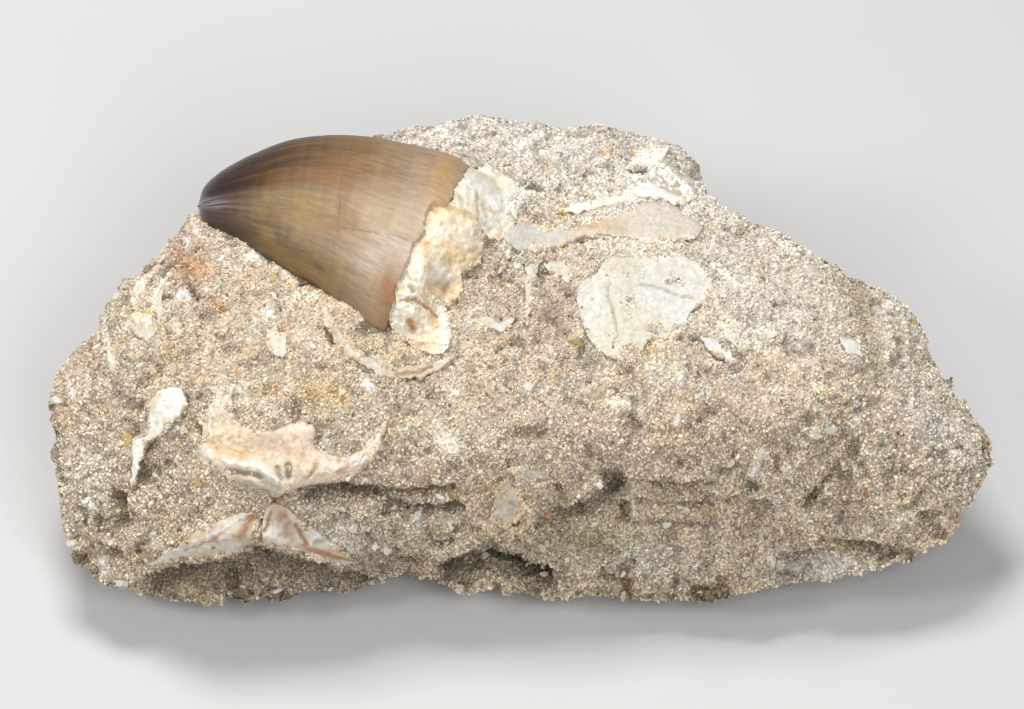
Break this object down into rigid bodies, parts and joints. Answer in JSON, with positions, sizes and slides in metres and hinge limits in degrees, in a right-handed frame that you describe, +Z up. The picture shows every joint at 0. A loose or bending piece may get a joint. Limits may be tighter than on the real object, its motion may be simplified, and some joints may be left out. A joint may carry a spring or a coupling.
{
  "type": "fossil mosasaur tooth in rock",
  "caption": "Loose block of sandy phosphate rock with a glossy brown mosasaur tooth crown and broken pieces of cream fossil bone set in its sloping face.",
  "frame": {"origin": "centre of the bounding box in plan, at the height of the flat underside", "axes": "+X along the block's length, to the right as its display face is seen, +Y away from the viewer, +Z up"},
  "size_m": [0.1404, 0.0692, 0.0496],
  "materials": {
    "sandy_rock": "rough sandy phosphate rock of fine buff, cream and dark grains, matte",
    "enamel": "glossy tooth enamel, tan at the base to dark purple-brown at the tip, with fine growth lines",
    "white_bone": "cracked cream to white fossil bone, matte",
    "stained_bone": "yellow to orange stained fossil bone, matte"
  },
  "bodies": {
    "root": {"rock_matrix": "sandy_rock", "tooth_crown": "enamel", "root_white_bone": "white_bone", "root_spongy_bone": "stained_bone", "root_cellular_bone": "white_bone", "bone_plate": "white_bone", "bone_wedge": "white_bone", "bone_corner_strip": "white_bone", "bone_spatula": "white_bone", "bone_blade": "white_bone", "bone_crest": "white_bone", "bone_curved_edge": "white_bone", "jaw_bone": "stained_bone", "lower_bone_left_wing": "white_bone", "lower_bone_right_wing": "white_bone", "bone_splinter": "white_bone", "bone_edge_strip": "white_bone", "shard_middle": "white_bone", "shard_thick": "white_bone", "shard_thin": "white_bone", "flake_upper_right": "white_bone", "shard_right": "white_bone", "flake_lower_middle": "stained_bone", "orange_bone": "stained_bone"}
  },
  "joints": []
}
